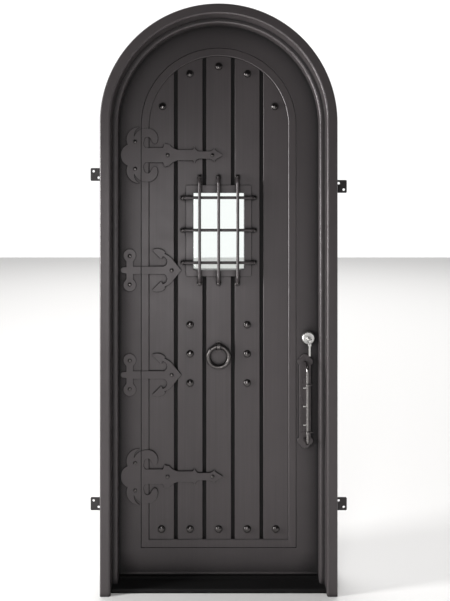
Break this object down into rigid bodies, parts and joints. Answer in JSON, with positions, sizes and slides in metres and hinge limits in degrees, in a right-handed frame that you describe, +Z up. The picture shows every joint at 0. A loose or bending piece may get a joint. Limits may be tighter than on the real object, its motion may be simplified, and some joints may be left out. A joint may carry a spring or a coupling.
{
  "type": "arched wrought iron door",
  "caption": "Round-headed steel entry door in its frame, with forged straps, a barred glazed window, ring knocker, pull and deadbolt.",
  "frame": {"origin": "middle of the frame's footprint, on the floor, at half the frame's depth", "axes": "+X across the doorway towards the lock side, +Y from the outside to the inside, +Z up"},
  "size_m": [1.114, 0.2225, 2.5],
  "materials": {
    "painted_steel": "satin dark bronze paint",
    "bright_metal": "polished",
    "plain_steel": "machined",
    "seal": "matte black",
    "glass": "clear"
  },
  "bodies": {
    "frame": {"jamb_hinge_side": "painted_steel", "jamb_lock_side": "painted_steel", "arch_head": "painted_steel", "threshold": "painted_steel", "anchors_hinge_side": "painted_steel", "anchors_lock_side": "painted_steel", "frame_seal": "seal", "strike_plate": "plain_steel", "hinge_frame_halves": "painted_steel", "hinge_pins_and_washers": "plain_steel"},
    "leaf": {"stile_hinge_side": "painted_steel", "stile_lock_side": "painted_steel", "arch_rail": "painted_steel", "bottom_rail": "painted_steel", "edge_plate": "painted_steel", "panel_backing": "painted_steel", "inner_skin": "painted_steel", "panel_border": "painted_steel", "board_1": "painted_steel", "board_2": "painted_steel", "board_3": "painted_steel", "board_4": "painted_steel", "board_5": "painted_steel", "window_surround": "painted_steel", "window_sleeve": "painted_steel", "grille_uprights": "painted_steel", "grille_crossbars": "painted_steel", "knocker_staple": "painted_steel", "lock_rose": "bright_metal", "lock_case": "plain_steel", "turn_rose": "painted_steel", "pull_plate_outside": "painted_steel", "pull_plate_inside": "painted_steel", "pull_grip_outside": "painted_steel", "pull_grip_inside": "painted_steel", "hinge_leaf_halves": "painted_steel", "casement_hinge_leaf_halves": "painted_steel", "casement_pins": "plain_steel", "latch_post": "painted_steel", "strap_top": "painted_steel", "strap_upper_middle": "painted_steel", "strap_lower_middle": "painted_steel", "strap_bottom": "painted_steel", "strap_nails": "painted_steel", "clavos": "painted_steel", "pull_pegs": "bright_metal", "drip_strip": "painted_steel", "door_sweep": "seal", "window_seal": "seal"},
    "knocker": {"knocker_ring": "painted_steel"},
    "casement": {"casement_frame": "painted_steel", "casement_glass": "glass", "casement_hinge_halves": "painted_steel"},
    "latch": {"latch_button": "painted_steel"},
    "turn": {"thumb_turn": "painted_steel"},
    "bolt": {"lock_bolt": "plain_steel"},
    "plug": {"lock_plug": "bright_metal", "key": "bright_metal", "spare_key_and_ring": "bright_metal"}
  },
  "joints": [
    {"name": "leaf_swing", "type": "hinge", "parent": "frame", "child": "leaf", "pos_m": [-0.4545, 0.0855, 1.163], "axis": [0, 0, 1], "range_deg": [0, 110]},
    {"name": "knocker_swing", "type": "hinge", "parent": "leaf", "child": "knocker", "pos_m": [0, 0.015, 1.0295], "axis": [-1, 0, 0], "range_deg": [0, 100]},
    {"name": "turn_rotation", "type": "hinge", "parent": "leaf", "child": "turn", "pos_m": [0.392, 0.08, 1.068], "axis": [0, 1, 0], "range_deg": [0, 90]},
    {"name": "bolt_slide", "type": "slide", "parent": "leaf", "child": "bolt", "axis": [1, 0, 0], "range_m": [0, 0.025]},
    {"name": "plug_rotation", "type": "hinge", "parent": "leaf", "child": "plug", "pos_m": [0.392, 0, 1.068], "axis": [0, 1, 0], "range_deg": [0, 90]},
    {"name": "casement_swing", "type": "hinge", "parent": "leaf", "child": "casement", "pos_m": [-0.1455, 0.083, 1.533], "axis": [0, 0, 1], "range_deg": [0, 100]},
    {"name": "latch_rotation", "type": "hinge", "parent": "leaf", "child": "latch", "pos_m": [0.1535, 0.088, 1.533], "axis": [0, -1, 0], "range_deg": [0, 90]}
  ],
  "couplings": [
    {"joint": "bolt_slide", "follows": "turn_rotation", "m_per_rad": 0.0159},
    {"joint": "plug_rotation", "follows": "turn_rotation", "ratio": 1}
  ]
}
